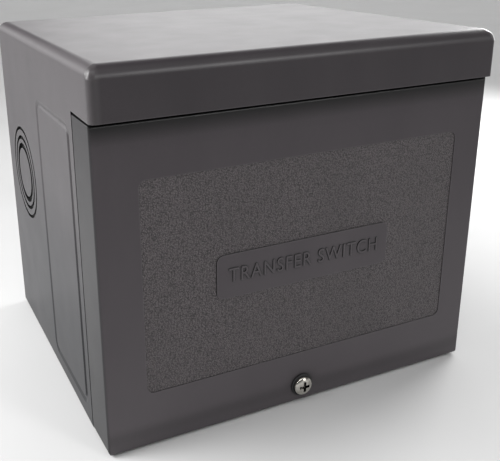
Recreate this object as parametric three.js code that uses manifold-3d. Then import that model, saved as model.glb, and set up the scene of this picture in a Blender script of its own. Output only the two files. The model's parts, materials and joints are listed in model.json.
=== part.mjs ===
// A small wall-mounted automatic transfer switch in a hooded plastic box.
// Millimetres. +X is the box's right, +Y its back, +Z up. The origin is at its foot, under its middle.
//
// The hood, sides, back and floor are one moulding, open at the front. A pan-shaped cover closes it:
// its tongue hooks up behind the hood's lip and one screw holds it at the bottom. Inside, a steel plate
// carries a two-pole double-throw switch. Its rotor rocks two blades between the utility contacts above
// and the generator contacts below, driven by a plunger between two coils or by hand with the lever.
// A control board hangs on the left and the neutral and ground bars on the right.

import * as THREE from "three";
import { mergeVertices } from "three/addons/utils/BufferGeometryUtils.js";
import Module from "manifold-3d";

const wasm = await Module();
wasm.setup();

// ---------------------------------------------------------------- driving dimensions

const GAP = 0.3; // between pieces that touch

const box = {
  width: 170,
  depth: 147,
  height: 149,
  wall: 2.5,
  draft: Math.tan(THREE.MathUtils.degToRad(1)), // sides and roof close in towards the back
  roofRadius: 5,
  footRadius: 2,
  edgeRadius: 2, // the hood's upright front edges
  hoodReach: 23, // from the hood's front to the side walls' front rim
  hoodSkirt: 19,
};
const FRONT = -box.depth / 2;
const BACK = box.depth / 2;
const RIM = FRONT + box.hoodReach;
const SKIRT_Z = box.height - box.hoodSkirt;

const cover = {
  front: FRONT + 3,
  back: RIM - 0.8,
  halfWidth: box.width / 2 - GAP,
  top: SKIRT_Z - 1,
  tongueFront: FRONT + 4,
  tongueTop: SKIRT_Z + 11,
  tongueHalfWidth: 80.5,
  edgeRadius: 3,
  grainHalfWidth: 68,
  grainBottom: 22,
  grainTop: 108,
  grainDepth: 0.4,
  plateHalfWidth: 39,
  plateBottom: 56,
  plateTop: 74,
};
const COVER_BACK = cover.front + box.wall;

const coverScrew = {
  z: 8,
  headRadius: 4.1,
  headHeight: 2,
  threadRadius: 2.08,
  length: 9.5,
  washerRadius: 4.9,
  washer: 0.5,
};
const insert = { radius: 3.9, bore: 2.8, front: COVER_BACK + 1, length: 7 };

const knockout = {
  rings: [[22, 21], [17.5, 16.5], [14, 12.2]],
  depth: 1.6,
  y: 40.5,
  z: 82.5,
  floorX: 38,
  floorY: 20,
};
const sidePanel = { y: [RIM + 4.5, RIM + 56.5], z: [7, 125], radius: 6, groove: 3.2, depth: 0.9 };
const wallHole = { x: 66, z: [28, 122], radius: 3.2 };

const plate = { halfWidth: 54, z: [13, 135], front: 62, thickness: 1.5, screwX: 48, screwZ: [19, 129] };
const PLATE_FACE = plate.front - GAP;

const axis = { y: 14, z: 74 }; // the rotor's pivot
const THROW = THREE.MathUtils.degToRad(15); // each side of level; the rotor is drawn thrown to utility
const shaftRadius = 4;
const hubRadius = 8;
const eyeRadius = 11;
const blade = { x: [20, 23], length: 28, halfHeight: 4, contactY: 25, contactRadius: 1.5, contact: 1.2 };
const strap = { x: [23.3, 26.3], halfHeight: 5, padX: 41, padY: [-14, -11.5], padHalfHeight: 7 };
const detent = { x: [-15.5, -10.5], angle: THREE.MathUtils.degToRad(-62) };
const crank = { reach: 26, halfThickness: 3, pinRadius: 2.5, pinHalfLength: 8.4 };
const lever = { x: [12, 16], gripFrom: 53, gripTo: 70, gripRadius: 6 };

const base = { halfWidth: 40, z: [28, 120], front: 44 };
const bus = { x: [17, 29], thickness: 2.5, end: 124, screwZ: 117 }; // a fixed contact's strip
const sidePlate = { x: [42.5, 44.5], y: [-34, PLATE_FACE], z: [30, 118], footX: 53 };

const coil = { y: axis.y - crank.reach, halfWidth: 18, halfDepth: 17, foot: 93.8, height: 36.7, metal: 2.5 };
const bracket = { z: [92, 93.5], y: [-34, 8] };
const rod = { radius: 5, end: 40.5, bore: 5.4 };
const yoke = { halfWidth: 8.7, halfDepth: 6, halfHeight: 9 };

const board = { x: [-79, -49], y: [-13, -11.4], z: [24, 124] };
const posts = [-73, -67, -61, -55]; // the terminal strip's wire entries
const wing = { y: [-4.4, -3], outer: 78, z: [22, 126] };

// ---------------------------------------------------------------- shapes and solids

// A closed geometry as a solid that can be joined and cut.
function solid(geometry) {
  const bare = geometry.index ? geometry.toNonIndexed() : geometry.clone();
  bare.deleteAttribute("normal");
  bare.deleteAttribute("uv");
  const merged = mergeVertices(bare, 1e-4);
  const vertProperties = merged.attributes.position.array;
  const triVerts = new Uint32Array(merged.index.array);
  return new wasm.Manifold(new wasm.Mesh({ numProp: 3, vertProperties, triVerts }));
}

function geometryOf(made) {
  const mesh = made.getMesh();
  return new THREE.BufferGeometry()
    .setAttribute("position", new THREE.BufferAttribute(new Float32Array(mesh.vertProperties), 3))
    .setIndex(new THREE.BufferAttribute(new Uint32Array(mesh.triVerts), 1))
    .toNonIndexed();
}

function block(x, y, z) {
  const made = new THREE.BoxGeometry(x[1] - x[0], y[1] - y[0], z[1] - z[0]);
  return solid(made.translate((x[0] + x[1]) / 2, (y[0] + y[1]) / 2, (z[0] + z[1]) / 2));
}

const ALONG_X = new THREE.Matrix4().makeBasis(
  new THREE.Vector3(0, 1, 0),
  new THREE.Vector3(0, 0, 1),
  new THREE.Vector3(1, 0, 0),
);

// A flat shape made thick along one axis. Along x its plane is (y, z), along y it is (x, z), along z (x, y).
function prismGeometry(shape, along, from, to, curveSegments = 2) {
  const made = new THREE.ExtrudeGeometry(shape, { depth: to - from, bevelEnabled: false, curveSegments });
  if (along === "x") return made.applyMatrix4(ALONG_X).translate(from, 0, 0);
  if (along === "y") return made.rotateX(Math.PI / 2).translate(0, to, 0);
  return made.translate(0, 0, from);
}
const prism = (...args) => solid(prismGeometry(...args));

// A round bar between two places along an axis. At holds its other two coordinates, in x, y, z order.
function bar(along, radius, from, to, at, segments = 16) {
  return prism(disc(at[0], at[1], radius), along, from, to, segments / 4);
}

function disc(u, v, radius) {
  const shape = new THREE.Shape();
  shape.absarc(u, v, radius, 0, Math.PI, false);
  shape.absarc(u, v, radius, Math.PI, 2 * Math.PI, false);
  return shape;
}

function ring(u, v, outer, inner) {
  const shape = disc(u, v, outer);
  shape.holes.push(disc(u, v, inner));
  return shape;
}

// radii run from the low-left corner, against the clock
function roundedRect(u, v, radii) {
  const [lowLeft, lowRight, highRight, highLeft] = radii;
  const shape = new THREE.Shape();
  shape.moveTo(u[0] + lowLeft, v[0]);
  shape.lineTo(u[1] - lowRight, v[0]);
  if (lowRight) shape.absarc(u[1] - lowRight, v[0] + lowRight, lowRight, -Math.PI / 2, 0, false);
  shape.lineTo(u[1], v[1] - highRight);
  if (highRight) shape.absarc(u[1] - highRight, v[1] - highRight, highRight, 0, Math.PI / 2, false);
  shape.lineTo(u[0] + highLeft, v[1]);
  if (highLeft) shape.absarc(u[0] + highLeft, v[1] - highLeft, highLeft, Math.PI / 2, Math.PI, false);
  shape.lineTo(u[0], v[0] + lowLeft);
  if (lowLeft) shape.absarc(u[0] + lowLeft, v[0] + lowLeft, lowLeft, Math.PI, 1.5 * Math.PI, false);
  return shape;
}
const evenRect = (u, v, radius) => roundedRect(u, v, [radius, radius, radius, radius]);

// A solid turned, drawn on a lathe about the y axis through (x, z). Profile points are [radius, y].
function turned(profile, x, z, segments = 12) {
  const points = profile.map(([r, y]) => new THREE.Vector2(r, y));
  return solid(new THREE.LatheGeometry(points, segments).translate(x, 0, z));
}

const mirrorX = (made) => made.mirror([1, 0, 0]);
const joined = (first, ...rest) => rest.reduce((sum, next) => sum.add(next), first);
const cut = (first, ...rest) => rest.reduce((sum, next) => sum.subtract(next), first);

// The moulding's draft: everything closes in by the same slope from the hood's front to the back.
function drafted(geometry) {
  const at = geometry.attributes.position;
  for (let i = 0; i < at.count; i++) {
    const inset = box.draft * (at.getY(i) - FRONT);
    at.setX(i, at.getX(i) * (1 - inset / (box.width / 2)));
    at.setZ(i, at.getZ(i) * (1 - inset / box.height));
  }
  return solid(geometry);
}

// ---------------------------------------------------------------- materials

function paint(color, roughness, metalness = 0) {
  return new THREE.MeshStandardMaterial({ color, roughness, metalness });
}
const material = {
  shell: paint(0x55555a, 0.55),
  stainless: paint(0xb9b6ae, 0.25, 1),
  brass: paint(0xb5903f, 0.35, 1),
  copper: paint(0xb87348, 0.35, 1),
  zinc: paint(0xa7abb0, 0.4, 1),
  steel: paint(0x8b8d90, 0.35, 1),
  phenolic: paint(0x1c1b1b, 0.5),
  rubber: paint(0x141414, 0.8),
  red: paint(0xa3201c, 0.45),
  winding: paint(0x8a3b1c, 0.4, 0.6),
  bobbin: paint(0xd8d4c4, 0.5),
  laminate: paint(0x1f5a34, 0.45),
  relayCase: paint(0xcfd6d8, 0.2),
  strip: paint(0x2c6a45, 0.5),
  lamp: paint(0x3fbf4f, 0.3),
  leadRed: paint(0xa02420, 0.5),
  leadBlack: paint(0x1a1a1c, 0.5),
  leadBlue: paint(0x24489a, 0.5),
};

const root = new THREE.Group();

function place(name, made, look, parent = root) {
  const mesh = new THREE.Mesh(geometryOf(made), material[look]);
  mesh.name = name;
  parent.add(mesh);
}

// ---------------------------------------------------------------- box

function knockoutCuts(along, from, to, u, v, rings, curveSegments) {
  return rings.map(([outer, inner]) => {
    const groove = ring(u, v, outer, inner);
    return prismGeometry(groove, along, from, to, curveSegments);
  });
}

// The shallow groove that frames each side's panel.
function sidePanelGroove() {
  const { y, z, radius, groove, depth } = sidePanel;
  const inside = [y, z].map(([low, high]) => [low + groove, high - groove]);
  const shape = evenRect(y, z, radius);
  shape.holes.push(evenRect(...inside, radius - groove));
  return drafted(prismGeometry(shape, "x", box.width / 2 - depth, box.width / 2 + 1));
}

function boxOutside() {
  const half = box.width / 2;
  const { footRadius: foot, roofRadius: roof, edgeRadius: edge } = box;
  const front = roundedRect([-half, half], [0, box.height], [foot, foot, roof, roof]);
  const side = roundedRect([FRONT, BACK], [0, box.height], [0, 0, foot, roof]);
  const plan = roundedRect([-half, half], [FRONT, BACK], [edge, edge, 0, 0]);
  const across = drafted(prismGeometry(side, "x", -half - 5, half + 5));
  const upright = drafted(prismGeometry(plan, "z", -5, box.height + 5));
  return drafted(prismGeometry(front, "y", FRONT, BACK)).intersect(across).intersect(upright);
}

// The inner rib at the side walls' rim, which the cover's flanges close round.
function rimRib() {
  const x = [80.4, 81.9];
  const y = [RIM - 6, RIM + 4];
  const floor = 2.9;
  const sideRib = block(x, y, [floor, 120]).add(block([x[0], 82.6], [RIM + 0.5, y[1]], [floor, 120]));
  const floorRib = block([-x[1], x[1]], y, [floor, floor + 1.5]);
  const ledge = block([-82, 82], [RIM + 0.5, y[1]], [2, floor + 1]);
  return joined(sideRib, mirrorX(sideRib), floorRib, ledge);
}

// The tab behind the cover's foot, with the bore that holds the threaded insert.
function insertTab() {
  const back = RIM + 8;
  return block([-9, 9], [insert.front, back], [box.wall + 0.5, 14]).add(block([-9, 9], [RIM, back], [1, 4]));
}

function enclosureBody() {
  const half = box.width / 2;
  const inner = half - box.wall;
  const innerBack = BACK - box.wall;
  const hollow = roundedRect([-inner, inner], [box.wall, box.height - box.wall], [1, 1, 2.5, 2.5]);
  const cavity = drafted(prismGeometry(hollow, "y", FRONT + box.wall, innerBack));
  const mouth = block([-half - 1, half + 1], [FRONT - 1, RIM], [-1, SKIRT_Z]);

  const { rings, depth, y, z, floorX, floorY } = knockout;
  const sideRings = knockoutCuts("x", half - depth, half + 1, y, z, rings, 7).map(drafted);
  const rightWall = [sidePanelGroove(), ...sideRings];
  const floor = [-1, 1].flatMap((s) => {
    return knockoutCuts("z", -1, depth, s * floorX, floorY, rings.slice(0, 2), 5).map(solid);
  });
  const wallHoles = [-1, 1].flatMap((s) => {
    return wallHole.z.map((at) => bar("y", wallHole.radius, innerBack - 1, BACK + 1, [s * wallHole.x, at]));
  });
  const cuts = [cavity, mouth, ...rightWall, ...rightWall.map(mirrorX), ...floor, ...wallHoles];
  let shell = cut(boxOutside(), ...cuts);

  const bossFront = plate.front + plate.thickness + GAP;
  for (const s of [-1, 1])
    for (const bossZ of plate.screwZ) {
      const at = [s * plate.screwX, bossZ];
      shell = shell.add(bar("y", 5, bossFront, BACK - 1, at));
      shell = shell.subtract(bar("y", 2, bossFront - 1, innerBack, at, 12));
    }
  const boreEnd = insert.front + insert.length + GAP;
  const bore = bar("y", insert.radius + GAP, insert.front - 1, boreEnd, [0, coverScrew.z]);
  return cut(joined(shell, rimRib(), insertTab()), bore);
}

function frontCover() {
  const { halfWidth, edgeRadius: r } = cover;
  const outline = roundedRect([-halfWidth, halfWidth], [0, cover.top + r], [r, r, 0, 0]);
  const plan = roundedRect([-halfWidth, halfWidth], [cover.front, cover.back], [r, r, 0, 0]);
  const foot = roundedRect([cover.front, cover.back], [0, cover.top + r], [r, 0, 0, 0]);
  const pan = prism(outline, "y", cover.front, cover.back)
    .intersect(prism(plan, "z", -1, cover.top))
    .intersect(prism(foot, "x", -halfWidth, halfWidth));
  const w = box.wall;
  const hollow = block([w - halfWidth, halfWidth - w], [COVER_BACK, RIM], [w, cover.top + 1]);
  const tongueHalf = cover.tongueHalfWidth;
  const tongueZ = [cover.top - 8, cover.tongueTop];
  const tongue = block([-tongueHalf, tongueHalf], [cover.tongueFront, COVER_BACK], tongueZ);
  const grain = prism(
    evenRect([-cover.grainHalfWidth, cover.grainHalfWidth], [cover.grainBottom, cover.grainTop], 3),
    "y",
    cover.front - 1,
    cover.front + cover.grainDepth,
  );
  const namePlate = prism(
    evenRect([-cover.plateHalfWidth, cover.plateHalfWidth], [cover.plateBottom, cover.plateTop], 3),
    "y",
    cover.front - 0.2,
    cover.front + 1,
  );
  const hole = bar("y", coverScrew.threadRadius + GAP, cover.front - 1, COVER_BACK + 1, [0, coverScrew.z]);
  return cut(joined(cut(pan, hollow), tongue), grain).add(namePlate).subtract(hole);
}

// Pan head, cross recess and shank, all about one axis. The head sits on the plane y = seat and points to -y.
function panScrew(x, z, seat, head, height, shank, length) {
  const profile = [
    [0, seat - height],
    [head * 0.62, seat - height],
    [head * 0.92, seat - height * 0.6],
    [head, seat],
    [shank, seat],
    [shank, seat + length - shank],
    [0, seat + length],
  ];
  const depth = [seat - height - 1, seat - height * 0.35];
  const long = head * 0.55;
  const thin = head * 0.14;
  const crossA = block([x - long, x + long], depth, [z - thin, z + thin]);
  const crossB = block([x - thin, x + thin], depth, [z - long, z + long]);
  return cut(turned(profile, x, z, 12), crossA, crossB);
}

function buildBox() {
  place("enclosure_body", enclosureBody(), "shell");
  place("front_cover", frontCover(), "shell");
  const washerBack = cover.front - 0.2;
  const washerFront = washerBack - coverScrew.washer;
  const washer = ring(0, coverScrew.z, coverScrew.washerRadius, coverScrew.threadRadius + GAP);
  place("screw_washer", prism(washer, "y", washerFront, washerBack, 5), "rubber");
  const s = coverScrew;
  const screw = panScrew(0, s.z, washerFront - 0.2, s.headRadius, s.headHeight, s.threadRadius, s.length);
  place("cover_screw", screw, "stainless");
  const sleeve = ring(0, s.z, insert.radius, insert.bore);
  place("threaded_insert", prism(sleeve, "y", insert.front, insert.front + insert.length, 5), "brass");
}

// ---------------------------------------------------------------- plate, base and side plates

function buildChassis() {
  const { halfWidth, z, front, thickness } = plate;
  const holes = [-1, 1].flatMap((s) => {
    return plate.screwZ.map((at) => bar("y", 2.1, front - 1, front + 3, [s * plate.screwX, at], 12));
  });
  const sheet = prism(evenRect([-halfWidth, halfWidth], z, 4), "y", front, front + thickness);
  place("mounting_plate", cut(sheet, ...holes), "zinc");
  let count = 0;
  for (const s of [-1, 1])
    for (const at of plate.screwZ) {
      count += 1;
      place("plate_screw_" + count, panScrew(s * plate.screwX, at, PLATE_FACE, 3.6, 2.2, 1.7, 8), "zinc");
    }
}

function switchBase() {
  const { halfWidth, z, front } = base;
  const body = prism(evenRect([-halfWidth, halfWidth], z, 3), "y", front, PLATE_FACE);
  const rib = (x, y, span) => block(x, [y, front + 1], span);
  const spans = [[z[0], axis.z - 12], [axis.z + 12, z[1]]];
  const ribs = spans.flatMap((span) => [[-3, 3], [-39, -35], [35, 39]].map((x) => rib(x, 34, span)));
  const pocket = block([-12, 12], [front - 1, front + 4], [axis.z - 9, axis.z + 9]);
  return cut(joined(body, ...ribs), pocket);
}

function sideWeb() {
  const { x, y, z, footX } = sidePlate;
  const web = prism(evenRect(y, z, 4), "x", x[0], x[1]);
  const windows = [[36, 62], [86, 112]].map((span) => {
    return prism(evenRect([16, 54], span, 4), "x", x[0] - 1, x[1] + 1, 3);
  });
  const foot = block([x[1] - 1, footX], [PLATE_FACE - 1.5, PLATE_FACE], [44, 104]);
  const bearing = bar("x", 9, x[1] - 0.5, x[1] + 2, [axis.y, axis.z]);
  const hole = bar("x", shaftRadius + GAP, x[0] - 1, x[1] + 3, [axis.y, axis.z]);
  return cut(joined(web, foot, bearing), ...windows, hole);
}

function buildSwitchFrame() {
  place("switch_base", switchBase(), "phenolic");
  place("side_plate_right", sideWeb(), "zinc");
  place("side_plate_left", mirrorX(sideWeb()), "zinc");
}

// ---------------------------------------------------------------- rotor

// Its pieces are drawn level about the pivot, and then thrown to utility.

function eyeWithArm(x, halfHeight, tip) {
  const arm = tip > 0 ? [0, tip] : [tip, 0];
  const lug = bar("x", eyeRadius, x[0], x[1], [0, 0]);
  const reach = prism(evenRect(arm, [-halfHeight, halfHeight], Math.min(halfHeight, 3)), "x", x[0], x[1]);
  return cut(lug.add(reach), bar("x", hubRadius + GAP, x[0] - 1, x[1] + 1, [0, 0]));
}

function bladeSolid() {
  const middle = (blade.x[0] + blade.x[1]) / 2;
  const reach = blade.halfHeight + blade.contact;
  const tips = bar("z", blade.contactRadius, -reach, reach, [middle, blade.contactY], 12);
  return eyeWithArm(blade.x, blade.halfHeight, blade.length).add(tips);
}

function hub() {
  const barrel = bar("x", hubRadius, -32, 32, [0, 0]);
  const spans = [[17, 19.7], [4, 9], [-19.7, -17], [-9, -4]];
  const collars = spans.map((x) => bar("x", eyeRadius, x[0], x[1], [0, 0]));
  const cam = bar("x", 10.5, detent.x[0], detent.x[1], [0, 0], 24);
  const notches = [-THROW, THROW].map((throwBy) => {
    const turn = detent.angle + throwBy;
    return bar("x", 2, detent.x[0] - 1, detent.x[1] + 1, [11.2 * Math.cos(turn), 11.2 * Math.sin(turn)], 12);
  });
  const bore = bar("x", shaftRadius + GAP, -33, 33, [0, 0], 12);
  return cut(joined(barrel, ...collars, cut(cam, ...notches)), bore);
}

function crankArm() {
  const { reach, halfThickness: t, pinRadius, pinHalfLength } = crank;
  const arm = eyeWithArm([-t, t], 4, -reach);
  const nose = bar("x", 4.5, -t, t, [-reach, 0]);
  return joined(arm, nose, bar("x", pinRadius, -pinHalfLength, pinHalfLength, [-reach, 0]));
}

function buildRotor() {
  const rotor = new THREE.Group();
  rotor.position.set(0, axis.y, axis.z);
  rotor.rotation.x = THROW;
  root.add(rotor);
  place("rotor_shaft", bar("x", shaftRadius, -49, 49, [0, 0], 12), "steel", rotor);
  place("rotor_hub", hub(), "phenolic", rotor);
  place("blade_right", bladeSolid(), "copper", rotor);
  place("blade_left", mirrorX(bladeSolid()), "copper", rotor);
  place("crank_arm", crankArm(), "zinc", rotor);
  const stem = eyeWithArm(lever.x, 3.5, -lever.gripTo + 4);
  place("transfer_lever", stem, "steel", rotor);
  const middle = (lever.x[0] + lever.x[1]) / 2;
  const grip = bar("y", lever.gripRadius, -lever.gripTo, -lever.gripFrom, [middle, 0]);
  const clear = 3.5 + GAP;
  const slot = block([lever.x[0] - GAP, lever.x[1] + GAP], [-lever.gripTo + 4 - GAP, 0], [-clear, clear]);
  place("lever_grip", cut(grip, slot), "red", rotor);
}

// ---------------------------------------------------------------- fixed contacts, straps and their screws

// The utility contact: a strip on the base, and a tilted foot that the thrown blade's tip meets.
function fixedContact() {
  const back = base.front - GAP;
  const front = back - bus.thickness;
  const strip = block(bus.x, [front, back], [axis.z + 15, bus.end]);
  const face = blade.halfHeight + blade.contact + GAP;
  const middle = (blade.x[0] + blade.x[1]) / 2;
  const foot = block(bus.x, [18, 31.5], [face + 1.5, face + 4.5]);
  const pad = bar("z", blade.contactRadius, face, face + 2, [middle, blade.contactY], 12);
  const thrown = foot.add(pad).rotate([THREE.MathUtils.radToDeg(THROW), 0, 0]);
  return strip.add(thrown.translate([0, axis.y, axis.z]));
}

const mirrorHeight = (made) => made.translate([0, 0, -axis.z]).mirror([0, 0, 1]).translate([0, 0, axis.z]);

function loadStrap() {
  const { x, halfHeight, padX, padY, padHalfHeight } = strap;
  const z = [axis.z - halfHeight, axis.z + halfHeight];
  const bar1 = block(x, [padY[0], base.front - GAP], z);
  const eye = bar("x", eyeRadius - 1, x[0], x[1], [axis.y, axis.z]);
  const pad = block([x[0], padX], padY, [axis.z - padHalfHeight, axis.z + padHalfHeight]);
  return cut(joined(bar1, eye, pad), bar("x", hubRadius + 0.6, x[0] - 1, x[1] + 1, [axis.y, axis.z]));
}

// A binding screw with its captive square clamp, standing on a terminal's front face.
function terminalScrew(x, face, z) {
  const seat = face - 2.6;
  const clamp = block([x - 5.5, x + 5.5], [seat, seat + 2], [z - 5.5, z + 5.5]);
  const ridge = block([x - 5.5, x + 5.5], [seat + 1.8, face - 0.4], [z + 4.3, z + 5.5]);
  return joined(panScrew(x, z, seat + 0.1, 4.6, 3, 2.4, 2.4), clamp, ridge);
}

function buildTerminals() {
  const face = base.front - GAP - bus.thickness;
  const middle = (bus.x[0] + bus.x[1]) / 2;
  const loadMiddle = (strap.x[1] + strap.padX) / 2;
  const low = 2 * axis.z - bus.screwZ;
  for (const [name, side] of [["right", 1], ["left", -1]]) {
    const handed = (made) => (side > 0 ? made : mirrorX(made));
    place("utility_contact_" + name, handed(fixedContact()), "copper");
    place("generator_contact_" + name, handed(mirrorHeight(fixedContact())), "copper");
    place("load_strap_" + name, handed(loadStrap()), "copper");
    place("utility_screw_" + name, terminalScrew(side * middle, face, bus.screwZ), "brass");
    place("generator_screw_" + name, terminalScrew(side * middle, face, low), "brass");
    place("load_screw_" + name, terminalScrew(side * loadMiddle, strap.padY[0], axis.z), "brass");
  }
}

// ---------------------------------------------------------------- coils, plunger and detent

function coilBracket() {
  const { z, y } = bracket;
  const edge = sidePlate.x[0] - GAP;
  const sheet = block([-edge, edge], y, z);
  const lip = block([edge - 1.5, edge], [y[0] + 4, y[1] - 4], [z[0], z[1] + 8]);
  const hole = bar("z", rod.radius + 0.6, z[0] - 1, z[1] + 1, [0, coil.y]);
  return cut(joined(sheet, lip, mirrorX(lip)), hole);
}

function coilFrame() {
  const { y, halfWidth: w, halfDepth: d, foot, height, metal } = coil;
  const top = foot + height;
  const outer = block([-w, w], [y - d, y + d], [foot, top]);
  const window = block([metal - w, w - metal], [y - d - 1, y + d + 1], [foot - 1, top - metal]);
  const pole = bar("z", rod.radius, axis.z + 47.6, top - 1, [0, y]);
  return cut(outer, window).add(pole);
}

function bobbin() {
  const { y, halfWidth, foot, height, metal } = coil;
  const half = halfWidth - metal - GAP;
  const z = [foot + GAP, foot + height - metal - GAP];
  const flange = (span) => prism(evenRect([-half, half], [y - half, y + half], 2), "z", span[0], span[1], 3);
  const spool = joined(flange([z[0], z[0] + 2]), flange([z[1] - 2, z[1]]), bar("z", 7, z[0], z[1], [0, y]));
  return cut(spool, bar("z", rod.bore, z[0] - 1, z[1] + 1, [0, y]));
}

function winding() {
  const low = coil.foot + GAP + 2 + GAP;
  const high = coil.foot + coil.height - coil.metal - GAP - 2 - GAP;
  return prism(ring(0, coil.y, 13.5, 7 + GAP), "z", low, high, 7);
}

// The yoke's slot lets the crank pin move a little to and fro as the crank swings.
function plunger() {
  const { halfWidth: w, halfDepth: d, halfHeight: h } = yoke;
  const blockYoke = block([-w, w], [-d, d], [-h, h]);
  const throat = block([-crank.halfThickness - 0.6, crank.halfThickness + 0.6], [-d - 1, d + 1], [-6.6, 6.6]);
  const slack = crank.pinRadius + 0.4;
  const sway = crank.reach * (1 - Math.cos(THROW));
  const slot = prism(evenRect([-slack, slack + sway], [-slack, slack], slack * 0.99), "x", -w - 1, w + 1);
  const rods = [bar("z", rod.radius, h - 1, rod.end, [0, 0]), bar("z", rod.radius, -rod.end, 1 - h, [0, 0])];
  const level = axis.z - crank.reach * Math.sin(THROW);
  return cut(joined(blockYoke, ...rods), throat, slot).translate([0, coil.y, level]);
}

// A leaf on the base whose bent nose drops into one of the cam's two notches.
function detentSpring() {
  const back = base.front - GAP;
  const nose = [axis.y + 10.9 * Math.cos(detent.angle), axis.z + 10.9 * Math.sin(detent.angle)];
  const knee = [nose[0] + 4, nose[1] - 3.5];
  const outer = [[back, 45], [back, 57], knee, nose];
  const bend = [[nose[0] - 0.6, nose[1] - 0.8], [knee[0] - 0.8, knee[1] - 0.6]];
  const outline = [...outer, ...bend, [back - 1, 55.4], [back - 1, 45]];
  const shape = new THREE.Shape(outline.map(([y, z]) => new THREE.Vector2(y, z)));
  return prism(shape, "x", detent.x[0] + 0.5, detent.x[1] - 0.5);
}

function buildActuator() {
  const upper = [
    ["coil_bracket_upper", coilBracket(), "zinc"],
    ["coil_frame_upper", coilFrame(), "steel"],
    ["coil_bobbin_upper", bobbin(), "bobbin"],
    ["coil_winding_upper", winding(), "winding"],
  ];
  for (const [name, made, look] of upper) {
    place(name, made, look);
    place(name.replace("upper", "lower"), mirrorHeight(made), look);
  }
  place("plunger", plunger(), "steel");
  place("detent_spring", detentSpring(), "stainless");
}

// ---------------------------------------------------------------- control board, on the left

// An angle of sheet steel on the side plate, with a wing that faces the front.
function wingBracket() {
  const inner = sidePlate.x[1] + GAP;
  const leg = block([-inner - 1.4, -inner], [-28, wing.y[1]], [40, 108]);
  return leg.add(block([-wing.outer, -inner], wing.y, wing.z));
}

// The left wing has four stand-offs for the board.
function boardBracket() {
  const studs = [-75, -53].flatMap((x) => {
    return [29, 119].map((z) => bar("y", 2.5, board.y[1] + GAP, wing.y[1], [x, z], 12));
  });
  return joined(wingBracket(), ...studs);
}

function buildBoard() {
  const face = board.y[0] - GAP;
  place("board_bracket", boardBracket(), "zinc");
  place("control_board", prism(evenRect(board.x, board.z, 2), "y", board.y[0], board.y[1], 2), "laminate");

  const stripBody = block([-77, -51], [face - 11, face], [108, 120]);
  const funnels = posts.map((x) => bar("y", 2, face - 12, face - 6, [x, 112], 8));
  const mouths = posts.map((x) => block([x - 2, x + 2], [face - 8, face - 2], [115, 121]));
  place("terminal_strip", cut(stripBody, ...funnels, ...mouths), "strip");

  const relay = prism(evenRect([-76, -54], [76, 104], 1.5), "y", face - 23, face, 2);
  place("transfer_relay", relay, "relayCase");

  const housing = block([-76, -66], [face - 7, face], [62, 72]);
  place("button_housing", cut(housing, bar("y", 2, face - 8, face - 0.5, [-71, 67], 12)), "phenolic");
  const cap = bar("y", 3.2, face - 12, face - 8.6, [-71, 67]);
  place("test_button", cap.add(bar("y", 1.6, face - 9, face - 2.2, [-71, 67], 12)), "red");
  const dome = [[0, face - 7], [1.5, face - 6.4], [2.5, face - 5], [2.5, face], [0, face]];
  place("indicator_lamp", turned(dome, -57, 67), "lamp");

  const cradle = block([-77, -51], [face - 3, face], [51, 59]);
  const clips = [[-76, -71], [-57, -52]].map((x) => block(x, [face - 8, face - 2], [51.5, 58.5]));
  const fuseHole = bar("x", 2.6, -78, -50, [face - 6.5, 55], 12);
  place("fuse_holder", cut(joined(cradle, ...clips), fuseHole), "brass");
  place("control_fuse", bar("x", 2.3, -75.5, -52.5, [face - 6.5, 55], 12), "relayCase");

  const core = block([-76, -52], [face - 24, face], [29, 47]);
  const spool = block([-70, -58], [face - 22, face - 2], [26, 50]);
  place("transformer", core.add(spool), "steel");
}

// ---------------------------------------------------------------- neutral and ground bars, on the right

const terminalBar = { z: [34, 114], first: 42, step: 16, count: 5 };

// A metal bar with a row of wire holes across it and a clamping screw over each.
function wireBar(x, y) {
  const middle = (x[0] + x[1]) / 2;
  let made = block(x, y, terminalBar.z);
  for (let i = 0; i < terminalBar.count; i++) {
    const z = terminalBar.first + i * terminalBar.step;
    made = made.subtract(bar("x", 1.8, x[0] - 1, x[1] + 1, [(y[0] + y[1]) / 2, z], 8));
    made = made.add(bar("y", 3.2, y[0] - 2.5, y[0] + 1, [middle, z], 12));
  }
  return made;
}

function buildBars() {
  place("bar_bracket", mirrorX(wingBracket()), "zinc");
  place("neutral_insulator", block([50, 62], [-12, wing.y[0] - GAP], [46, 102]), "bobbin");
  place("neutral_bar", wireBar([51, 61], [-22, -12 - GAP]), "zinc");
  place("ground_bar", wireBar([67, 76], [-14, wing.y[0] - GAP]), "brass");
}

// ---------------------------------------------------------------- leads

function lead(points) {
  const path = new THREE.CatmullRomCurve3(points.map((p) => new THREE.Vector3(...p)), false, "centripetal");
  const section = new THREE.Shape().absarc(0, 0, 1.1, 0, 2 * Math.PI, false);
  const steps = 3 * (points.length - 1);
  const options = { steps, extrudePath: path, curveSegments: 3, bevelEnabled: false };
  return solid(new THREE.ExtrudeGeometry(section, options));
}

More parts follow.
